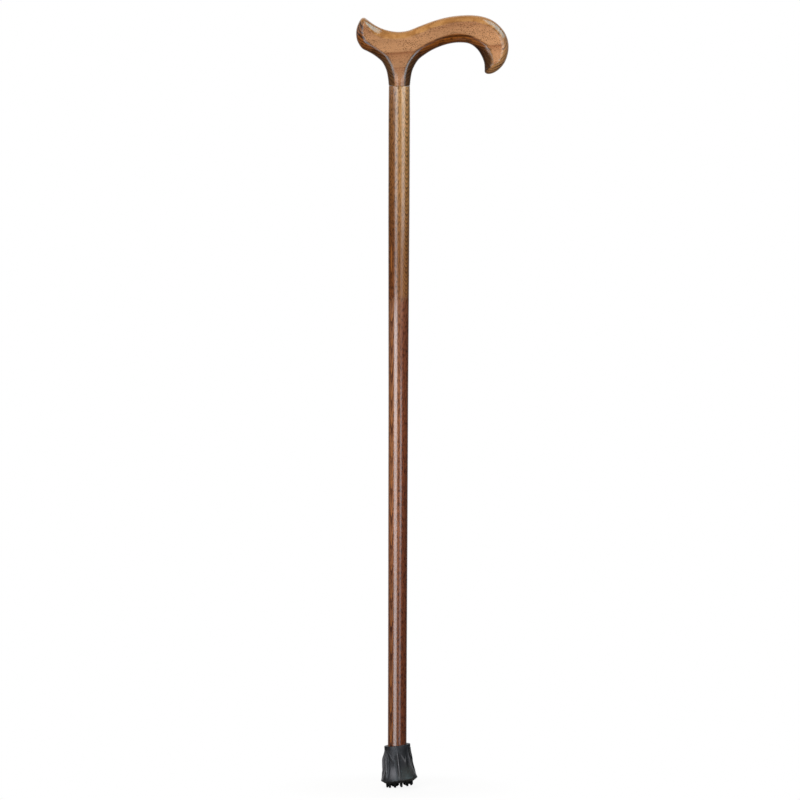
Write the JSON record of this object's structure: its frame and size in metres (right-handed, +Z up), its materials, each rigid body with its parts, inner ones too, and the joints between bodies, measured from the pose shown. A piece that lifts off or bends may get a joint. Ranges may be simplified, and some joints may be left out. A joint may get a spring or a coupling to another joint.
{
  "type": "derby walking stick",
  "caption": "Wooden walking stick with a derby handle curving into a hook at one end and a short horn at the other, on a tapered shaft with a studded rubber ferrule.",
  "frame": {"origin": "where the shaft's axis meets the plane of the ferrule's stud ends, on the end of a stud", "axes": "+Z up along the shaft's axis; +X from the shaft towards the handle's hook; the handle is alike on both sides of Y = 0"},
  "size_m": [0.1524, 0.0364, 0.7752],
  "materials": {
    "handle_wood": "stained beech under clear satin lacquer, fine dark flecks along the grain",
    "shaft_wood": "stained hardwood under clear gloss lacquer, short dark pores along the shaft",
    "dowel_wood": "plain beech, fluted for glue",
    "ferrule_rubber": "moulded dark grey rubber, faint bloom on its ridges",
    "washer_steel": "plain zinc-plated steel disc"
  },
  "bodies": {
    "stick": {"handle": "handle_wood", "shaft": "shaft_wood", "joining_dowel": "dowel_wood"},
    "ferrule": {"ferrule": "ferrule_rubber", "ferrule_washer": "washer_steel"}
  },
  "joints": [
    {"name": "ferrule_pull_off", "type": "slide", "parent": "stick", "child": "ferrule", "axis": [0, 0, -1], "range_m": [0, 0.04]}
  ]
}
